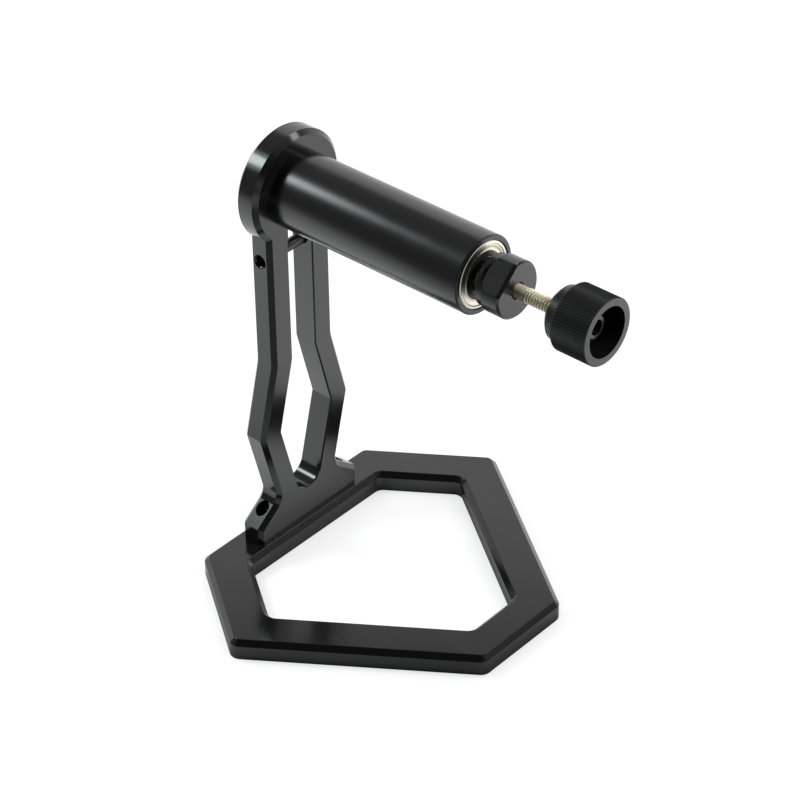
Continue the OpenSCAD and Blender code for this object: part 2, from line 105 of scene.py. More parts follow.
class Wiring:
    """Adds nodes to a tree and links them."""

    def __init__(self, tree: bpy.types.NodeTree) -> None:
        """Keep the tree that the nodes go into."""
        self.tree = tree

    def node(self, kind: str, **settings: object) -> bpy.types.Node:
        """Add a node.

        Args:
            kind: Blender's name of the node type.
            settings: Values of the node's own options.

        Returns:
            The new node.
        """
        made = self.tree.nodes.new(kind)
        for name, value in settings.items():
            setattr(made, name, value)
        return made

    def feed(self, node: bpy.types.Node, name: Union[str, int], value: object) -> None:
        """Link a node's input to an output, or set the input's own value.

        Args:
            node: The node.
            name: Name or number of the input.
            value: An output socket or a plain value.
        """
        socket = node.inputs[name]
        if isinstance(value, Socket):
            self.tree.links.new(value, socket)
        else:
            socket.default_value = value

    def math(self, operation: str, first: Feed, second: Feed = 0.0) -> Socket:
        """Add a maths node.

        Args:
            operation: Blender's name of the operation.
            first: First number or socket.
            second: Second number or socket.

        Returns:
            The node's output.
        """
        made = self.node("ShaderNodeMath", operation=operation)
        self.feed(made, 0, first)
        self.feed(made, 1, second)
        return made.outputs["Value"]

    def ramp(self, value: Feed, start: float, end: float, low: float, high: float) -> Socket:
        """Turn one range of values smoothly into another.

        Args:
            value: The number that comes in.
            start: Value at which the ramp begins.
            end: Value at which the ramp ends.
            low: Result before the ramp.
            high: Result after the ramp.

        Returns:
            The ramp's output.
        """
        made = self.node("ShaderNodeMapRange", interpolation_type="SMOOTHSTEP")
        names = ("Value", "From Min", "From Max", "To Min", "To Max")
        for name, number in zip(names, (value, start, end, low, high)):
            self.feed(made, name, number)
        return made.outputs["Result"]


@dataclass(frozen=True)
class Finish:
    """A procedural surface finish."""

    name: str
    slot: str
    colour: Colour
    shade: Colour
    roughness: float
    roughness_spread: float
    metallic: float
    ior: float
    grain: Grain
    grain_mm: float
    bump: float

    def material(self, axis_height: float) -> bpy.types.Material:
        """Build the node material of this finish.

        Args:
            axis_height: Height of the spindle's axis, round which turned marks run.

        Returns:
            The material, ready to be put on a piece.
        """
        made = bpy.data.materials.new(self.name)
        made.use_nodes = True
        wiring = Wiring(made.node_tree)
        shader = made.node_tree.nodes["Principled BSDF"]
        wiring.feed(shader, "Metallic", self.metallic)
        wiring.feed(shader, "IOR", self.ior)
        place = wiring.node("ShaderNodeTexCoord").outputs["Object"]
        grain_place = place
        if self.grain is Grain.TURNED:
            grain_place = self._turned(wiring, place, axis_height)
        fine = self._noise(wiring, grain_place, self.grain_mm, FINE_LAYERS)
        broad = self._noise(wiring, place, BROAD_GRAIN_MM, BROAD_LAYERS)
        tone = wiring.node("ShaderNodeMix", data_type="RGBA")
        wiring.feed(tone, "Factor", fine)
        wiring.feed(tone, "A", self.shade)
        wiring.feed(tone, "B", self.colour)
        wiring.feed(shader, "Base Color", tone.outputs["Result"])
        low = self.roughness - self.roughness_spread
        high = self.roughness + self.roughness_spread
        wiring.feed(shader, "Roughness", wiring.ramp(broad, *BROAD_RANGE, low, high))
        bump = wiring.node("ShaderNodeBump")
        wiring.feed(bump, "Strength", self.bump)
        wiring.feed(bump, "Distance", BUMP_HEIGHT_MM * MM)
        wiring.feed(bump, "Height", fine)
        wiring.feed(shader, "Normal", bump.outputs["Normal"])
        return made

    @staticmethod
    def _noise(wiring: Wiring, place: Socket, size_mm: float, detail: float) -> Socket:
        """Add a noise of a given grain.

        Args:
            wiring: Node tree of the material.
            place: Socket that gives the place on the piece.
            size_mm: Size of the noise's largest grains.
            detail: Number of finer layers.

        Returns:
            The noise's value.
        """
        made = wiring.node("ShaderNodeTexNoise")
        wiring.feed(made, "Vector", place)
        wiring.feed(made, "Scale", 1 / (size_mm * MM))
        wiring.feed(made, "Detail", detail)
        return made.outputs["Fac"]

    @staticmethod
    def _turned(wiring: Wiring, place: Socket, axis_height: float) -> Socket:
        """Make tool marks run round the spindle's axis.

        Args:
            wiring: Node tree of the material.
            place: Socket that gives the place on the piece.
            axis_height: Height of the axis.

        Returns:
            Socket whose value changes only along the axis and along the radius.
        """
        split = wiring.node("ShaderNodeSeparateXYZ")
        wiring.feed(split, "Vector", place)
        above = wiring.math("SUBTRACT", split.outputs["Z"], axis_height)
        square = wiring.math("MULTIPLY", above, above)
        across = wiring.math("MULTIPLY", split.outputs["X"], split.outputs["X"])
        radius = wiring.math("SQRT", wiring.math("ADD", across, square))
        rings = wiring.node("ShaderNodeCombineXYZ")
        wiring.feed(rings, "X", split.outputs["Y"])
        wiring.feed(rings, "Y", radius)
        return rings.outputs["Vector"]


BLACK_PLATE = Finish(
    name="black anodised plate",
    slot="black_anodised",
    colour=(0.0050, 0.0050, 0.0054, 1.0),
    shade=(0.0030, 0.0030, 0.0033, 1.0),
    roughness=0.15,
    roughness_spread=0.02,
    metallic=0.0,
    ior=1.68,
    grain=Grain.EVEN,
    grain_mm=0.25,
    bump=0.05,
)
BLACK_TUBE = replace(
    BLACK_PLATE, name="black anodised satin tube", roughness=0.22, grain_mm=0.60, bump=1.0
)
BLACK_TURNED = replace(
    BLACK_PLATE,
    name="black anodised turned metal",
    roughness=0.17,
    grain=Grain.TURNED,
    grain_mm=0.30,
    bump=0.06,
)
BLACK_KNURL = replace(
    BLACK_PLATE,
    name="black anodised knurl",
    colour=(0.0080, 0.0080, 0.0086, 1.0),
    shade=(0.0045, 0.0045, 0.0050, 1.0),
    roughness=0.30,
    roughness_spread=0.04,
    grain_mm=0.40,
    bump=0.15,
)
BLACK_STEEL = Finish(
    name="black oxide steel",
    slot="black_steel",
    colour=(0.010, 0.010, 0.011, 1.0),
    shade=(0.006, 0.006, 0.006, 1.0),
    roughness=0.30,
    roughness_spread=0.05,
    metallic=0.0,
    ior=1.6,
    grain=Grain.EVEN,
    grain_mm=0.20,
    bump=0.10,
)
BEARING_STEEL = Finish(
    name="ground bearing steel",
    slot="bearing_steel",
    colour=(0.88, 0.85, 0.77, 1.0),
    shade=(0.78, 0.75, 0.66, 1.0),
    roughness=0.26,
    roughness_spread=0.04,
    metallic=1.0,
    ior=2.5,
    grain=Grain.TURNED,
    grain_mm=0.12,
    bump=0.08,
)
SHIELD_STEEL = replace(
    BEARING_STEEL,
    name="pressed shield steel",
    slot="cage_steel",
    colour=(0.84, 0.80, 0.67, 1.0),
    shade=(0.72, 0.68, 0.55, 1.0),
    roughness=0.28,
    grain_mm=0.20,
)
STUD_STEEL = Finish(
    name="warm stud steel",
    slot="turned_steel",
    colour=(0.96, 0.90, 0.71, 1.0),
    shade=(0.86, 0.80, 0.62, 1.0),
    roughness=0.40,
    roughness_spread=0.05,
    metallic=0.60,
    ior=2.5,
    grain=Grain.EVEN,
    grain_mm=0.30,
    bump=0.10,
)
BALL_STEEL = replace(
    STUD_STEEL,
    name="polished ball steel",
    slot="ball_steel",
    colour=(0.72, 0.72, 0.72, 1.0),
    shade=(0.66, 0.66, 0.66, 1.0),
    roughness=0.08,
    roughness_spread=0.02,
    grain_mm=0.15,
    bump=0.02,
)
PLAIN_ALUMINIUM = replace(
    STUD_STEEL,
    name="plain turned aluminium",
    slot="plain_aluminium",
    colour=(0.74, 0.74, 0.73, 1.0),
    shade=(0.60, 0.60, 0.60, 1.0),
    roughness=0.30,
    grain=Grain.TURNED,
    grain_mm=0.20,
)


@dataclass
class Workshop:
    """The loaded frame, with the tools that dress its pieces."""

    frame: dict
    axis_height: float
    materials: dict[str, bpy.types.Material] = field(default_factory=dict)

    def material(self, finish: Finish) -> bpy.types.Material:
        """Give the material of a finish, made once.

        Args:
            finish: The finish.

        Returns:
            Its material.
        """
        if finish.name not in self.materials:
            self.materials[finish.name] = finish.material(self.axis_height)
        return self.materials[finish.name]

    def put_on(self, piece: Piece, finish: Finish) -> None:
        """Give a piece one finish.

        Args:
            piece: The mesh object.
            finish: Its finish.
        """
        piece.data.materials.clear()
        piece.data.materials.append(self.material(finish))

    def dress(self, node: str, finish: Finish) -> None:
        """Keep a solid's shape and give it a finish.

        Args:
            node: Name of the CAD node.
            finish: Its finish.
        """
        self.put_on(self.frame["nodes"][node], finish)
        LOG.info("%s: %s", node, finish.name)

    def ease(self, node: str, finish: Finish, width_mm: float) -> None:
        """Show a solid with its sharp edges broken, in place of the node.

        Args:
            node: Name of the CAD node.
            finish: The finish of the piece.
            width_mm: Width of the broken edges.
        """
        piece = self.eased_copy(node, finish, width_mm)
        self.mount(piece, self.frame["nodes"][node]["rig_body"], finish, node)

    def eased_copy(self, node: str, finish: Finish, width_mm: float) -> Piece:
        """Copy a solid and break its sharp edges.

        Args:
            node: Name of the CAD node.
            finish: The finish of the piece.
            width_mm: Width of the broken edges.

        Returns:
            The new piece, not yet in the scene.
        """
        work = bmesh.new()
        work.from_mesh(self.frame["nodes"][node].data)
        bmesh.ops.remove_doubles(work, verts=work.verts, dist=MERGE_GAP)
        bmesh.ops.dissolve_limit(
            work, angle_limit=LEVEL_ANGLE, verts=work.verts, edges=work.edges
        )
        return self.eased(work, f"{node}_eased", finish, width_mm)

    def eased(self, work: bmesh.types.BMesh, name: str, finish: Finish, width_mm: float) -> Piece:
        """Break the sharp edges of a shape and make it a piece.

        Args:
            work: The shape, which is used up.
            name: Name of the piece.
            finish: The finish of the piece.
            width_mm: Width of the broken edges.

        Returns:
            The new piece, not yet in the scene.
        """
        sharp = [
            edge
            for edge in work.edges
            if len(edge.link_faces) == 2 and edge.calc_face_angle() > BREAK_ANGLE
        ]
        bmesh.ops.bevel(
            work,
            geom=sharp,
            offset=width_mm * MM,
            offset_type="OFFSET",
            segments=2,
            profile=0.5,
            affect="EDGES",
            clamp_overlap=True,
        )
        piece = new_piece(work, name)
        self.put_on(piece, finish)
        self.smooth(piece)
        return piece

    @staticmethod
    def smooth(piece: Piece) -> None:
        """Shade a piece smoothly, with its flat faces kept flat.

        Args:
            piece: The mesh object, not yet in the scene.
        """
        piece.data.shade_smooth()
        piece.data.set_sharp_from_angle(angle=CREASE_ANGLE)
        weigh = piece.modifiers.new("flat faces first", "WEIGHTED_NORMAL")
        weigh.keep_sharp = True
        bake_modifiers(piece)

    def turn(self, name: str, outlines: list[Outline], finish: Finish, *nodes: str) -> None:
        """Turn a piece of the stand round the spindle's axis.

        Args:
            name: Name of the piece.
            outlines: Its closed outlines, as radius and place along Y.
            finish: Its finish.
            nodes: CAD nodes that the piece stands for.
        """
        piece = turned_piece(name, outlines, self.axis_height)
        self.put_on(piece, finish)
        self.smooth(piece)
        self.mount(piece, "stand", finish, *nodes)

    @staticmethod
    def mount(piece: Piece, body: str, finish: Finish, *nodes: str) -> None:
        """Put a finished piece on its body.

        Args:
            piece: The mesh object, with its place in its mesh.
            body: Name of the CAD body that it moves with.
            finish: The finish, whose name goes into the log.
            nodes: CAD nodes that the piece stands for.
        """
        bpy.context.scene.collection.objects.link(piece)
        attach(piece, body)
        if nodes:
            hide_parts(*nodes)
        LOG.info("%s rides on %s: %s", piece.name, body, finish.name)


def new_piece(work: bmesh.types.BMesh, name: str) -> Piece:
    """Make a piece from a shape.

    Args:
        work: The shape, which is used up.
        name: Name of the piece.

    Returns:
        A mesh object that is not yet in the scene.
    """
    mesh = bpy.data.meshes.new(name)
    work.to_mesh(mesh)
    work.free()
    return bpy.data.objects.new(name, mesh)


def bake_modifiers(piece: Piece) -> None:
    """Turn a piece with modifiers into a plain mesh.

    Args:
        piece: The mesh object, which is in the scene only meanwhile.
    """
    bpy.context.scene.collection.objects.link(piece)
    bpy.context.view_layer.update()
    graph = bpy.context.evaluated_depsgraph_get()
    plain = bpy.data.meshes.new_from_object(
        piece.evaluated_get(graph), preserve_all_data_layers=True, depsgraph=graph
    )
    piece.modifiers.clear()
    piece.data = plain
    bpy.context.scene.collection.objects.unlink(piece)


class NodeForm(Wiring):
    """A shape made by a Geometry Nodes tree with named inputs."""

    def __init__(self, name: str) -> None:
        """Start an empty tree with one geometry output."""
        super().__init__(bpy.data.node_groups.new(name, "GeometryNodeTree"))
        self.tree.interface.new_socket(
            "Geometry", in_out="OUTPUT", socket_type="NodeSocketGeometry"
        )
        self.values: dict[str, object] = {}
        self.entry = self.node("NodeGroupInput")

    def number(self, name: str, value: float) -> Socket:
        """Add a named input.

        Args:
            name: Name of the input.
            value: A whole number, or else a length in metres or a plain number.

        Returns:
            The socket that carries it.
        """
        kind = "NodeSocketInt" if isinstance(value, int) else "NodeSocketFloat"
        item = self.tree.interface.new_socket(name, in_out="INPUT", socket_type=kind)
        self.values[item.identifier] = value
        return self.entry.outputs[name]

    def finish(self, shape: Socket, material: bpy.types.Material) -> Piece:
        """Close the tree and turn its result into a plain mesh piece.

        Args:
            shape: Geometry that comes out.
            material: Its finish.

        Returns:
            A mesh object that is not yet in the scene.
        """
        real = self.node("GeometryNodeRealizeInstances")
        self.feed(real, "Geometry", shape)
        coat = self.node("GeometryNodeSetMaterial")
        self.feed(coat, "Geometry", real.outputs["Geometry"])
        self.feed(coat, "Material", material)
        out = self.node("NodeGroupOutput")
        self.feed(out, "Geometry", coat.outputs["Geometry"])
        piece = bpy.data.objects.new(self.tree.name, bpy.data.meshes.new(self.tree.name))
        modifier = piece.modifiers.new(self.tree.name, "NODES")
        modifier.node_group = self.tree
        for identifier, value in self.values.items():
            modifier[identifier] = value
        bake_modifiers(piece)
        return piece


def helix_ridge(
    form: NodeForm, turns: float, pitch: float, radius: float, tooth: float, sides: int
) -> Socket:
    """Wind a ridge along Z, starting at the origin's plane.

    Args:
        form: The shape's node tree.
        turns: Number of turns.
        pitch: Rise of each turn.
        radius: Radius of the ridge's middle line.
        tooth: Size of the ridge's section, negative for a ridge that points inward.
        sides: Number of sides of the section.

    Returns:
        The ridge's geometry.
    """
    rounds = form.number("Turns", turns)
    rise = form.number("Pitch", pitch)
    middle = form.number("Middle radius", radius)
    spiral = form.node("GeometryNodeCurveSpiral")
    form.feed(spiral, "Resolution", form.number("Steps in a turn", 40))
    form.feed(spiral, "Rotations", rounds)
    form.feed(spiral, "Start Radius", middle)
    form.feed(spiral, "End Radius", middle)
    form.feed(spiral, "Height", form.math("MULTIPLY", rounds, rise))
    upright = form.node("GeometryNodeSetCurveNormal", mode="Z_UP")
    form.feed(upright, "Curve", spiral.outputs["Curve"])
    section = form.node("GeometryNodeCurvePrimitiveCircle", mode="RADIUS")
    form.feed(section, "Resolution", form.number("Sides of the section", sides))
    form.feed(section, "Radius", form.math("MULTIPLY", form.number("Tooth", tooth), -1.0))
    sweep = form.node("GeometryNodeCurveToMesh")
    form.feed(sweep, "Curve", upright.outputs["Curve"])
    form.feed(sweep, "Profile Curve", section.outputs["Curve"])
    form.feed(sweep, "Fill Caps", True)
    return sweep.outputs["Mesh"]


def lay_along_spindle(piece: Piece, start: float, axis_height: float) -> None:
    """Turn a shape made along Z to point forward along the spindle, with its place in its mesh.

    Args:
        piece: The mesh object.
        start: Place of its lower end along Y.
        axis_height: Height of the spindle's axis.
    """
    turn = Matrix.Rotation(math.radians(90), 4, "X")
    piece.data.transform(Matrix.Translation((0.0, start, axis_height)) @ turn)


def turned_piece(name: str, outlines: list[Outline], axis_height: float) -> Piece:
    """Turn closed outlines round the spindle's axis.

    Args:
        name: Name of the piece.
        outlines: For each ring, radius and place along Y of its corners, in order.
        axis_height: Height of the axis.

    Returns:
        A closed mesh object that is not yet in the scene.
    """
    steps = 120
    work = bmesh.new()
    for outline in outlines:
        rings = []
        for step in range(steps):
            angle = 2 * math.pi * step / steps
            across = math.cos(angle)
            above = math.sin(angle)
            ring = [
                work.verts.new((radius * across, along, axis_height + radius * above))
                for radius, along in outline
            ]
            rings.append(ring)
        for step, ring in enumerate(rings):
            following = rings[(step + 1) % steps]
            for corner in range(len(outline)):
                after = (corner + 1) % len(outline)
                work.faces.new((ring[corner], ring[after], following[after], following[corner]))
    bmesh.ops.recalc_face_normals(work, faces=work.faces)
    return new_piece(work, name)


@dataclass
class Assembly:
    """Pieces of the stand that are made with the tools of one workshop."""

    shop: Workshop


@dataclass
class StandFrame(Assembly):
    """Base frame and upright, with their screws."""

    edge_mm: float = 0.22
    screw_edge_mm: float = 0.15
    hole_radius_mm: float = 2.26
    hole_x_mm: float = 17.8
    hole_thread_from_mm: float = 12.1
    hole_thread_turns: float = 4.0
    hole_pitch_mm: float = 0.8
    hole_tooth_mm: float = 0.42
    hole_tooth_inset: float = 0.25
    hole_thread_sides: int = 3

    def build(self) -> None:
        """Dress the plates and screws, and cut the threads of the foot's holes."""
        self.shop.ease("base_frame", BLACK_PLATE, self.edge_mm)
        self.shop.ease("upright", BLACK_PLATE, self.edge_mm)
        self.shop.ease("clamp_screw", BLACK_STEEL, self.screw_edge_mm)
        self.shop.ease("foot_screws", BLACK_STEEL, self.screw_edge_mm)
        for name, side in (("left", -1), ("right", 1)):
            self._hole_thread(name, side)

    def _hole_thread(self, name: str, side: int) -> None:
        """Wind the thread inside one hole of the foot.

        Args:
            name: Name of the side.
            side: Sign of the hole's place along X.
        """
        form = NodeForm(f"{name}_foot_hole_thread")
        tooth = self.hole_tooth_mm * MM
        ridge = helix_ridge(
            form,
            self.hole_thread_turns,
            self.hole_pitch_mm * MM,
            self.hole_radius_mm * MM - tooth * self.hole_tooth_inset,
            -tooth,
            self.hole_thread_sides,
        )
        piece = form.finish(ridge, self.shop.material(BLACK_PLATE))
        place = Vector((side * self.hole_x_mm * MM, 0.0, self.hole_thread_from_mm * MM))
        piece.data.transform(Matrix.Translation(place))
        self.shop.mount(piece, "stand", BLACK_PLATE)


@dataclass
class BearingUnit(Assembly):
    """Tube with a ball bearing at each end."""

    edge_mm: float = 0.30
    ring_edge_mm: float = 0.25
    ring_round_mm: float = 0.60
    land_mm: float = 8.90
    ball_circle_mm: float = 7.55
    groove_mm: float = 2.03
    groove_half_angle: float = 48.0
    seat_radius_mm: float = 9.95
    seat_depth_mm: float = 0.95
    round_angles: tuple[int, ...] = (90, 60, 30, 0)
    shield_t_mm: float = 0.30
    shield_form_mm: tuple[tuple[float, float], ...] = (
        (9.90, -0.45),
        (9.78, -0.20),
        (9.50, -0.10),
        (9.20, -0.18),
        (8.90, -0.36),
        (8.50, -0.44),
        (8.10, -0.36),
        (7.80, -0.20),
    )
    # A black ring of painted shade fills the recess inside each shield, where the bearing lies in
    # shade
    shade_ring_form_mm: tuple[tuple[float, float], ...] = (
        (7.75, -0.50),
        (7.75, -0.15),
        (7.45, 0.10),
        (5.92, 0.10),
        (5.92, 0.02),
        (6.32, 0.02),
        (6.32, -0.50),
    )

    def build(self) -> None:
        """Dress the tube, the rings, the shields, the cages and the balls, and put a black ring of
        painted shade in each shield's recess.
        """
        self.shop.ease("bearing_tube", BLACK_TUBE, self.edge_mm)
        for end, outward in (("front", -1), ("rear", 1)):
            low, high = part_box(f"{end}_outer_ring")
            middle = (low.y + high.y) / 2
            half = (high.y - low.y) / 2
            ring = self._ring_outline((high.x - low.x) / 2, half, middle)
            self.shop.turn(f"{end}_outer_ring_turned", [ring], BEARING_STEEL, f"{end}_outer_ring")
            self.shop.ease(f"{end}_inner_ring", BEARING_STEEL, self.ring_edge_mm)
            sheets = [self._shield_outline(middle + side * half, side) for side in (-1, 1)]
            self.shop.turn(f"{end}_shields_pressed", sheets, SHIELD_STEEL, f"{end}_shields")
            # Painted shade: a black ring put into the shaded recess inside the shields
            shade_ring = self._on_face(self.shade_ring_form_mm, middle + outward * half, outward)
            self.shop.turn(f"{end}_bearing_shade_ring", [shade_ring], BLACK_STEEL)
            self.shop.dress(f"{end}_cage", SHIELD_STEEL)
            self.shop.dress(f"{end}_balls", BALL_STEEL)

    @staticmethod
    def _on_face(form: Iterable[tuple[float, float]], face: float, outward: int) -> Outline:
        """Place an outline on a face of a bearing.

        Args:
            form: Radius and height above the face of each corner, in millimetres.
            face: Place of the face along Y.
            outward: Sign of the way out along Y.

        Returns:
            The outline's radii and places along Y.
        """
        return [(radius * MM, face + outward * height * MM) for radius, height in form]

    def _shield_outline(self, face: float, outward: int) -> Outline:
        """Draw one pressed sheet shield.

        Args:
            face: Place of the bearing's face along Y.
            outward: Sign of the way out along Y.

        Returns:
            The sheet's closed outline.
        """
        front = self.shield_form_mm
        back = [(radius, height - self.shield_t_mm) for radius, height in reversed(front)]
        return self._on_face([*front, *back], face, outward)

    def _ring_outline(self, outer: float, half: float, middle: float) -> Outline:
        """Draw an outer ring with its ball groove, the shields' seats and rounded outer edges.

        Args:
            outer: Outer radius of the ring.
            half: Half of its width.
            middle: Place of its middle along Y.

        Returns:
            The ring's closed outline.
        """
        steps = 6
        groove = []
        for step in range(steps + 1):
            angle = math.radians(self.groove_half_angle) * (2 * step / steps - 1)
            radius = self.ball_circle_mm + self.groove_mm * math.cos(angle)
            groove.append((radius * MM, middle + self.groove_mm * math.sin(angle) * MM))
        bend = self.ring_round_mm * MM
        side = [
            (self.land_mm * MM, half - self.seat_depth_mm * MM),
            (self.seat_radius_mm * MM, half - self.seat_depth_mm * MM),
            (self.seat_radius_mm * MM, half),
        ]
        for angle in self.round_angles:
            turn = math.radians(angle)
            side.append((outer - bend + bend * math.cos(turn), half - bend + bend * math.sin(turn)))
        far = [(radius, middle + along) for radius, along in side]
        near = [(radius, middle - along) for radius, along in reversed(side)]
        return [*groove, *far, *near]


@dataclass
class Spindle(Assembly):
    """Shaft, spacer, retaining ring, hub and threaded stud."""

    hub_edge_mm: float = 0.18
    hub_chamfer_mm: float = 0.6
    hub_l_mm: float = 6.4
    hub_step_r_mm: float = 8.4
    hub_step_l_mm: float = 2.9
    boss_r_mm: float = 5.8
    hub_bore_r_mm: float = 4.0
    stud_hole_gap_mm: float = 0.35
    shaft_inset_mm: float = 3.0
    flat_depth_mm: float = 1.7
    flat_angle: float = 132.0
    flat_chamfer_mm: float = 0.9
    mill_r_mm: float = 7.0
    mill_past_mm: float = 1.8
    mill_steps: int = 48
    pitch_mm: float = 1.06
    tooth_mm: float = 0.33
    core_mm: float = 0.62
    thread_sides: int = 12
    neck_mm: float = 3.6
    neck_inset_mm: float = 0.15
    neck_from_mm: float = 1.0

    def build(self) -> None:
        """Dress the plain pieces, turn and mill the hub, and wind the stud's thread."""
        self.shop.dress("spindle_shaft", PLAIN_ALUMINIUM)
        self.shop.dress("bearing_spacer", PLAIN_ALUMINIUM)
        self.shop.dress("retaining_ring", BLACK_STEEL)
        self._hub()
        self._stud()

    def _hub(self) -> None:
        """Turn the hub and mill its flat."""
        low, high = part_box("hub")
        outer = (high.x - low.x) / 2
        stud_low, stud_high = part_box("stud")
        hole = (stud_high.x - stud_low.x) / 2 + self.stud_hole_gap_mm * MM
        chamfer = self.hub_chamfer_mm * MM
        step = self.hub_step_r_mm * MM
        rear = low.y + self.hub_l_mm * MM
        step_end = rear + self.hub_step_l_mm * MM
        inset = low.y + self.shaft_inset_mm * MM
        outline = [
            (hole, low.y),
            (outer - chamfer, low.y),
            (outer, low.y + chamfer),
            (outer, rear),
            (step, rear),
            (step, step_end),
            (self.boss_r_mm * MM, step_end),
            (self.boss_r_mm * MM, high.y),
            (self.hub_bore_r_mm * MM, high.y),
            (self.hub_bore_r_mm * MM, inset),
            (hole, inset),
        ]
        turned = turned_piece("hub_turned", [outline], self.shop.axis_height)
        angle = math.radians(self.flat_angle)
        across = Vector((math.cos(angle), 0.0, math.sin(angle)))
        edge = Vector((0.0, low.y + self.flat_chamfer_mm * MM, self.shop.axis_height))
        edge += across * (outer - self.flat_depth_mm * MM)
        self._mill(turned, edge, across, rear)
        work = bmesh.new()
        work.from_mesh(turned.data)
        bpy.data.objects.remove(turned)
        bmesh.ops.remove_doubles(work, verts=work.verts, dist=MERGE_GAP)
        self._chamfer(work, edge, across - Vector((0.0, 1.0, 0.0)))
        piece = self.shop.eased(work, "hub_milled", BLACK_TURNED, self.hub_edge_mm)
        self.shop.mount(piece, "spindle", BLACK_TURNED, "hub")

    def _mill(self, piece: Piece, edge: Vector, across: Vector, rear: float) -> None:
        """Mill a flat from the front that ends in the mill's round.

        Args:
            piece: The turned hub.
            edge: A point on the flat, opposite the spindle's axis.
            across: Direction that the flat faces.
            rear: Place of the rear end of the hub's full diameter along Y.
        """
        radius = self.mill_r_mm * MM
        middle = rear + self.mill_past_mm * MM - radius
        along = across.cross(Vector((0.0, 1.0, 0.0)))
        plan = [(-radius, edge.y - radius)]
        for step in range(self.mill_steps + 1):
            turn = math.pi * (step / self.mill_steps - 0.5)
            plan.append((radius * math.sin(turn), middle + radius * math.cos(turn)))
        plan.append((radius, edge.y - radius))
        work = bmesh.new()
        corners = [
            work.verts.new(Vector((edge.x, place, edge.z)) + along * side) for side, place in plan
        ]
        lid = bmesh.ops.extrude_face_region(work, geom=[work.faces.new(corners)])
        raised = [part for part in lid["geom"] if isinstance(part, bmesh.types.BMVert)]
        bmesh.ops.translate(work, verts=raised, vec=across * radius)
        bmesh.ops.recalc_face_normals(work, faces=work.faces)
        mill = new_piece(work, "mill")
        bpy.context.scene.collection.objects.link(mill)
        cut = piece.modifiers.new("flat", "BOOLEAN")
        cut.operation = "DIFFERENCE"
        cut.solver = "EXACT"
        cut.object = mill
        bake_modifiers(piece)
        bpy.data.objects.remove(mill)

    @staticmethod
    def _chamfer(work: bmesh.types.BMesh, place: Vector, outward: Vector) -> None:
        """Cut a plane face on a closed shape.

        Args:
            work: The shape.
            place: A point on the new face.
            outward: Direction that the face looks.
        """
        parts = list(work.verts) + list(work.edges) + list(work.faces)
        bmesh.ops.bisect_plane(work, geom=parts, plane_co=place, plane_no=outward, clear_outer=True)
        rim = [edge for edge in work.edges if edge.is_boundary]
        bmesh.ops.holes_fill(work, edges=rim, sides=0)

    def _stud(self) -> None:
        """Make the stud as a core with a plain neck at the hub and a ridge wound round the rest."""
        low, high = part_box("stud")
        length = high.y - low.y
        outer = (high.x - low.x) / 2
        pitch = self.pitch_mm * MM
        tooth = self.tooth_mm * MM
        neck = high.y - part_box("hub")[0].y + self.neck_mm * MM
        form = NodeForm("stud_thread")
        turns = (length - neck - pitch / 2) / pitch
        ridge = helix_ridge(form, turns, pitch, outer - tooth, tooth, self.thread_sides)
        raised = form.node("GeometryNodeTransform")
        form.feed(raised, "Geometry", ridge)
        form.feed(raised, "Translation", (0.0, 0.0, neck))
        core = self._rod(form, "Core", outer - self.core_mm * MM, 0.0, length)
        neck_r = outer - self.neck_inset_mm * MM
        plain = self._rod(form, "Neck", neck_r, self.neck_from_mm * MM, neck)
        whole = form.node("GeometryNodeJoinGeometry")
        for shape in (core, plain, raised.outputs["Geometry"]):
            form.feed(whole, "Geometry", shape)
        piece = form.finish(whole.outputs["Geometry"], self.shop.material(STUD_STEEL))
        lay_along_spindle(piece, high.y, self.shop.axis_height)
        self.shop.smooth(piece)
        self.shop.mount(piece, "spindle", STUD_STEEL, "stud")

    @staticmethod
    def _rod(form: NodeForm, name: str, radius: float, start: float, end: float) -> Socket:
        """Make a plain round rod along Z.

        Args:
            form: The shape's node tree.
            name: Name of the rod.
            radius: Its radius.
            start: Height of its lower end.
            end: Height of its upper end.

        Returns:
            The rod's geometry.
        """
        rod = form.node("GeometryNodeMeshCylinder")
        form.feed(rod, "Vertices", form.number(f"{name} sides", 48))
        form.feed(rod, "Radius", form.number(f"{name} radius", radius))
        form.feed(rod, "Depth", form.number(f"{name} length", end - start))
        lift = form.node("GeometryNodeTransform")
        form.feed(lift, "Geometry", rod.outputs["Mesh"])
        form.feed(lift, "Translation", (0.0, 0.0, (start + end) / 2))
        return lift.outputs["Geometry"]


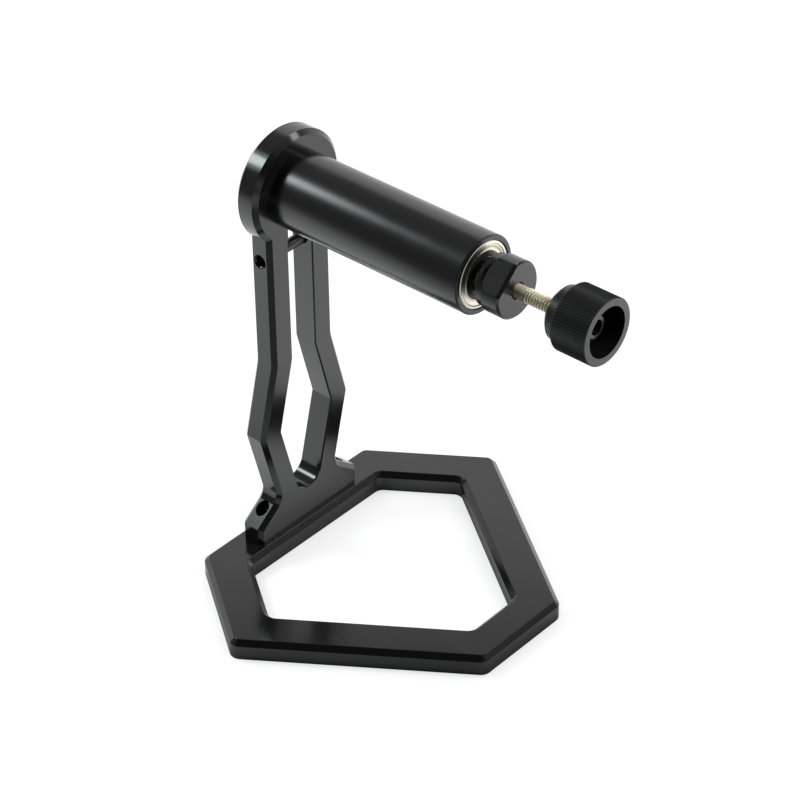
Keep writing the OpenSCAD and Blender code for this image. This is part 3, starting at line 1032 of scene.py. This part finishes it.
@dataclass
class HandKnob(Assembly):
    """Knurled knob with its threaded bush."""

    edge_mm: float = 0.10
    bush_edge_mm: float = 0.08
    knurl_l_mm: float = 12.6
    knurl_end_mm: float = 0.04
    crest_mm: float = 0.10
    groove_mm: float = 0.32
    ridge_count: int = 68
    ridge_mm: float = 0.50
    ridge_sides: int = 4
    grip_edge_mm: float = 0.3
    grip_merge_mm: float = 0.02
    collar_taper: float = 3.5
    collar_gap_mm: float = 0.01
    collar_bore_mm: float = 6.0
    satin_lean: float = 0.3

    def build(self) -> None:
        """Shape and dress the knob, dress its bush, and stand the knurl's ridges on the knob."""
        low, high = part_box("knob")
        crest = (high.x - low.x) / 2 + self.crest_mm * MM
        piece = self.shop.eased_copy("knob", BLACK_TURNED, self.edge_mm)
        middle = low.y + self.knurl_l_mm / 2 * MM
        self._sink_grip(piece, crest - self.groove_mm * MM, middle)
        self._taper_collar(piece, low.y + self.knurl_l_mm * MM)
        self.shop.smooth(piece)
        self._satin_sides(piece)
        self.shop.mount(piece, "hand_knob", BLACK_TURNED, "knob")
        self.shop.ease("knob_bush", BLACK_TURNED, self.bush_edge_mm)
        self._knurl(crest, low.y)

    def _sink_grip(self, piece: Piece, floor: float, middle: float) -> None:
        """Bring the knob's side in to the floor of the knurl's grooves, and square its rear edge.

        Args:
            piece: The knob.
            floor: Radius of the grooves' floor.
            middle: Place of the grip's middle along Y.
        """
        axis_height = self.shop.axis_height
        work = bmesh.new()
        work.from_mesh(piece.data)
        for point in work.verts:
            above = point.co.z - axis_height
            radius = math.hypot(point.co.x, above)
            behind = point.co.y > middle
            if radius > floor or (behind and radius > floor - self.grip_edge_mm * MM):
                point.co.x *= floor / radius
                point.co.z = axis_height + above * floor / radius
        bmesh.ops.remove_doubles(work, verts=work.verts, dist=self.grip_merge_mm * MM)
        work.to_mesh(piece.data)
        work.free()

    def _taper_collar(self, piece: Piece, start: float) -> None:
        """Let the collar behind the grip grow a little thinner towards its end.

        Args:
            piece: The knob.
            start: Place of the collar's front end along Y.
        """
        axis_height = self.shop.axis_height
        slope = math.tan(math.radians(self.collar_taper))
        for point in piece.data.vertices:
            above = point.co.z - axis_height
            radius = math.hypot(point.co.x, above)
            behind = point.co.y - start
            if behind > self.collar_gap_mm * MM and radius > self.collar_bore_mm * MM:
                share = (radius - behind * slope) / radius
                point.co.x *= share
                point.co.z = axis_height + above * share

    def _satin_sides(self, piece: Piece) -> None:
        """Leave the knob's grip and collar satin, and its front face and recess bright turned.

        Args:
            piece: The knob.
        """
        piece.data.materials.append(self.shop.material(BLACK_KNURL))
        for face in piece.data.polygons:
            above = face.center.z - self.shop.axis_height
            outward = face.normal.x * face.center.x + face.normal.z * above
            if outward > self.satin_lean * math.hypot(face.center.x, above):
                face.material_index = 1

    def _knurl(self, crest: float, front: float) -> None:
        """Stand square ridges, corner outward, round the knob's grip.

        Args:
            crest: Radius over the ridges.
            front: Place of the knob's front face along Y.
        """
        ridge = self.ridge_mm * MM
        length = (self.knurl_l_mm - 2 * self.knurl_end_mm) * MM
        form = NodeForm("knob_knurl")
        ring = form.node("GeometryNodeMeshCircle", fill_type="NONE")
        form.feed(ring, "Vertices", form.number("Ridges", self.ridge_count))
        form.feed(ring, "Radius", form.number("Ridge middle radius", crest - ridge))
        bar = form.node("GeometryNodeMeshCylinder", fill_type="NGON")
        form.feed(bar, "Vertices", self.ridge_sides)
        form.feed(bar, "Radius", form.number("Ridge", ridge))
        form.feed(bar, "Depth", form.number("Length", length))
        outward = form.node("FunctionNodeAlignRotationToVector", axis="X", pivot_axis="Z")
        place = form.node("GeometryNodeInputPosition").outputs["Position"]
        form.feed(outward, "Vector", place)
        spread = form.node("GeometryNodeInstanceOnPoints")
        form.feed(spread, "Points", ring.outputs["Mesh"])
        form.feed(spread, "Instance", bar.outputs["Mesh"])
        form.feed(spread, "Rotation", outward.outputs["Rotation"])
        piece = form.finish(spread.outputs["Instances"], self.shop.material(BLACK_KNURL))
        lay_along_spindle(piece, front + self.knurl_l_mm / 2 * MM, self.shop.axis_height)
        self.shop.mount(piece, "hand_knob", BLACK_KNURL)


@dataclass(frozen=True)
class Lamp:
    """A round lamp that points at the stand's head."""

    name: str
    place_mm: tuple[float, float, float]
    size_mm: float
    radiance: float
    colour: tuple[float, float, float] = (1.0, 1.0, 1.0)
    fill: bool = False

    def hang(self, floor: Piece) -> None:
        """Put the lamp in the scene.

        Args:
            floor: The floor, which a fill lamp doesn't light.
        """
        data = bpy.data.lights.new(self.name, "AREA")
        data.shape = "DISK"
        data.size = self.size_mm * MM
        data.color = self.colour
        data.energy = self.radiance * math.pi * math.pi * (self.size_mm * MM / 2) ** 2
        lamp = bpy.data.objects.new(self.name, data)
        lamp.location = Vector(self.place_mm) * MM
        towards = Vector((0.0, 0.0, HEAD_HEIGHT_MM * MM)) - lamp.location
        lamp.rotation_mode = "QUATERNION"
        lamp.rotation_quaternion = towards.to_track_quat("-Z", "Y")
        lamp.visible_camera = False
        if self.fill:
            lamp.visible_glossy = False
            spared = bpy.data.collections.new(f"{self.name} spares")
            spared.objects.link(floor)
            spared.collection_objects[0].light_linking.link_state = "EXCLUDE"
            lamp.light_linking.receiver_collection = spared
        bpy.context.scene.collection.objects.link(lamp)


@dataclass
class Studio:
    """Pale floor, soft light and the camera of the photograph.

    A pair named turn or fade says where a smooth change begins and ends. A turn is the cosine of
    the angle from an azimuth. A fade is a height in degrees or a place on the floor in metres.
    """

    sensor_mm: float = 36.0
    lens_mm: float = 132.67
    clip: tuple[float, float] = (0.01, 20.0)
    place_mm: tuple[float, float, float] = (-552.8, -540.2, 606.5)
    azimuth: float = -48.138
    elevation: float = 35.757
    roll: float = -0.797
    room_turn: tuple[float, float] = (-0.9, -0.2)
    room_glow: tuple[float, float] = (0.02, 0.22)
    wall_azimuth: float = 60.0
    wall_turn: tuple[float, float] = (0.45, 0.80)
    wall_top: float = 39.7
    wall_blur: float = 0.013
    side_turn: tuple[float, float] = (-0.10, 0.40)
    front_azimuth: float = 175.0
    front_turn: tuple[float, float] = (0.60, 0.90)
    sheet_fade: tuple[float, float] = (5.0, 20.0)
    above_one: float = 1.0001
    floor_half: float = 0.95
    floor_gap_mm: float = 0.05
    floor_colour: Colour = (0.60, 0.60, 0.60, 1.0)
    floor_glow: float = 0.86
    # Glossy rays see a painted glow on the floor: painted light behind and to the right, painted
    # shade towards the front left, and a fainter painted glow far in front
    painted_reflection_glow: float = 0.90
    painted_reflection_fade: tuple[float, float] = (-0.20, 0.0)
    painted_front_reflection_glow: float = 0.45
    painted_front_reflection_fade: tuple[float, float] = (-0.25, -0.17)
    # Painted contact shadow: ambient occlusion darkens the floor's glow near the stand, gently for
    # the camera and deeply in reflections
    painted_contact_shade_mm: float = 40.0
    painted_contact_shade_samples: int = 6
    painted_contact_shade_power: float = 3.0
    painted_contact_shade_tone: float = 0.70
    lamps: tuple[Lamp, ...] = (
        Lamp("near lamp", (-146.0, 222.0, 342.0), 107.0, 9.5, (0.90, 1.0, 1.0)),
        Lamp("near lamp halo", (-146.0, 222.0, 342.0), 175.0, 1.4, (0.90, 1.0, 1.0)),
        Lamp("far lamp", (612.0, -517.0, 753.0), 220.0, 4.0),
        Lamp("fill lamp", (400.0, -700.0, 700.0), 400.0, 34.0, fill=True),
    )

    def build(self) -> None:
        """Make the camera, the surroundings, the floor and the lamps."""
        self._camera()
        self._world()
        floor = self._floor()
        for lamp in self.lamps:
            lamp.hang(floor)
        bpy.context.scene.view_settings.view_transform = "Standard"

    def _camera(self) -> None:
        """Set the camera where the photograph was taken from."""
        data = bpy.data.cameras.new("photo camera")
        data.sensor_width = self.sensor_mm
        data.lens = self.lens_mm
        data.clip_start, data.clip_end = self.clip
        camera = bpy.data.objects.new("photo camera", data)
        turn = math.radians(self.azimuth)
        lift = math.radians(self.elevation)
        tilt = math.radians(self.roll)
        back = Vector(
            (math.sin(turn) * math.cos(lift), -math.cos(turn) * math.cos(lift), math.sin(lift))
        )
        level = Vector((math.cos(turn), math.sin(turn), 0.0))
        above = back.cross(level)
        right = math.cos(tilt) * level + math.sin(tilt) * above
        up = math.cos(tilt) * above - math.sin(tilt) * level
        axes = Matrix((right, up, back)).transposed().to_4x4()
        camera.matrix_world = Matrix.Translation(Vector(self.place_mm) * MM) @ axes
        bpy.context.scene.collection.objects.link(camera)
        bpy.context.scene.camera = camera

    def _world(self) -> None:
        """Put a white wall and low white sheets in a dim room. The camera sees plain white."""
        world = bpy.data.worlds.new("white wall and dim room")
        world.use_nodes = True
        wiring = Wiring(world.node_tree)
        split = wiring.node("ShaderNodeSeparateXYZ")
        wiring.feed(split, "Vector", wiring.node("ShaderNodeTexCoord").outputs["Generated"])
        height = split.outputs["Z"]
        facing = self._facing(wiring, split, self.wall_azimuth)
        room = wiring.ramp(facing, *self.room_turn, *self.room_glow)
        top = math.sin(math.radians(self.wall_top))
        wall = wiring.math(
            "MULTIPLY",
            wiring.ramp(facing, *self.wall_turn, 0.0, 1.0),
            wiring.ramp(height, top - self.wall_blur, top + self.wall_blur, 1.0, 0.0),
        )
        fade_from, fade_to = (math.sin(math.radians(angle)) for angle in self.sheet_fade)
        low = wiring.ramp(height, fade_from, fade_to, 1.0, 0.0)
        front = self._facing(wiring, split, self.front_azimuth)
        around = wiring.math(
            "MAXIMUM",
            wiring.ramp(facing, *self.side_turn, 0.0, 1.0),
            wiring.ramp(front, *self.front_turn, 0.0, 1.0),
        )
        lit = wiring.math("MAXIMUM", wall, wiring.math("MULTIPLY", around, low))
        dark = wiring.math("SUBTRACT", 1.0, room)
        glow = wiring.math("ADD", room, wiring.math("MULTIPLY", lit, dark))
        seen = wiring.node("ShaderNodeLightPath").outputs["Is Camera Ray"]
        sky = world.node_tree.nodes["Background"]
        wiring.feed(sky, "Color", (1.0, 1.0, 1.0, 1.0))
        wiring.feed(sky, "Strength", wiring.math("MAXIMUM", glow, seen))
        bpy.context.scene.world = world

    def _facing(self, wiring: Wiring, split: bpy.types.Node, azimuth: float) -> Socket:
        """Measure how far a direction turns towards an azimuth.

        Args:
            wiring: The world's node tree.
            split: Node that gives the direction's X, Y and Z.
            azimuth: The azimuth in degrees, from Y towards X.

        Returns:
            One straight towards the azimuth, minus one straight away from it.
        """
        turn = math.radians(azimuth)
        towards = wiring.math(
            "ADD",
            wiring.math("MULTIPLY", split.outputs["X"], math.sin(turn)),
            wiring.math("MULTIPLY", split.outputs["Y"], math.cos(turn)),
        )
        height = split.outputs["Z"]
        # A little more than one keeps the root above zero straight up and straight down
        squared = wiring.math("SUBTRACT", self.above_one, wiring.math("MULTIPLY", height, height))
        return wiring.math("DIVIDE", towards, wiring.math("SQRT", squared))

    def _floor(self) -> Piece:
        """Lay a white floor that keeps the lamps' soft shadow, with a painted contact shadow and
        painted light and shade in its reflections.

        Returns:
            The floor.
        """
        mesh = bpy.data.meshes.new("floor")
        half = self.floor_half
        corners = [(-half, -half, 0.0), (half, -half, 0.0), (half, half, 0.0), (-half, half, 0.0)]
        mesh.from_pydata(corners, [], [(0, 1, 2, 3)])
        floor = bpy.data.objects.new("floor", mesh)
        floor.location.z = -self.floor_gap_mm * MM
        bpy.context.scene.collection.objects.link(floor)
        made = bpy.data.materials.new("white floor")
        made.use_nodes = True
        wiring = Wiring(made.node_tree)
        made.node_tree.nodes.remove(made.node_tree.nodes["Principled BSDF"])
        plain = wiring.node("ShaderNodeBsdfDiffuse")
        wiring.feed(plain, "Color", self.floor_colour)
        glow = wiring.node("ShaderNodeEmission")
        path = wiring.node("ShaderNodeLightPath")
        mirrored = wiring.math(
            "MAXIMUM", path.outputs["Is Glossy Ray"], path.outputs["Is Transmission Ray"]
        )
        split = wiring.node("ShaderNodeSeparateXYZ")
        wiring.feed(split, "Vector", wiring.node("ShaderNodeTexCoord").outputs["Object"])
        # Painted light and shade in reflections: the glow that only glossy rays see is brighter
        # behind and to the right and falls off towards the front left
        away = wiring.math("ADD", split.outputs["X"], split.outputs["Y"])
        painted_reflection_light = wiring.math(
            "ADD",
            wiring.ramp(away, *self.painted_reflection_fade, 0.0, self.painted_reflection_glow),
            wiring.ramp(split.outputs["Y"], *self.painted_front_reflection_fade, self.painted_front_reflection_glow, 0.0),
        )
        # Painted contact shadow: ambient occlusion darkens the glow near the stand; the diffuse
        # part keeps the lamps' real shadows
        painted_contact_shade = wiring.node("ShaderNodeAmbientOcclusion", samples=self.painted_contact_shade_samples)
        wiring.feed(painted_contact_shade, "Distance", self.painted_contact_shade_mm * MM)
        open_air = painted_contact_shade.outputs["AO"]
        seen = wiring.math("MULTIPLY", path.outputs["Is Camera Ray"], self.floor_glow)
        painted_camera_shade = wiring.ramp(open_air, 0.0, 1.0, self.painted_contact_shade_tone, 1.0)
        painted_reflection_shade = wiring.math("POWER", open_air, self.painted_contact_shade_power)
        strength = wiring.math(
            "ADD",
            wiring.math("MULTIPLY", seen, painted_camera_shade),
            wiring.math("MULTIPLY", wiring.math("MULTIPLY", mirrored, painted_reflection_light), painted_reflection_shade),
        )
        wiring.feed(glow, "Strength", strength)
        both = wiring.node("ShaderNodeAddShader")
        wiring.feed(both, 0, plain.outputs["BSDF"])
        wiring.feed(both, 1, glow.outputs["Emission"])
        out = made.node_tree.nodes["Material Output"]
        wiring.feed(out, "Surface", both.outputs["Shader"])
        floor.data.materials.append(made)
        return floor


def main() -> None:
    """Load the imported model, dress its pieces and light them."""
    logging.basicConfig(level=logging.INFO, format="%(message)s")
    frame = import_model()
    low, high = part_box("bearing_tube")
    shop = Workshop(frame=frame, axis_height=(low.z + high.z) / 2)
    for assembly in (StandFrame, BearingUnit, Spindle, HandKnob):
        assembly(shop).build()
    Studio().build()


if __name__ == "__main__":
    main()
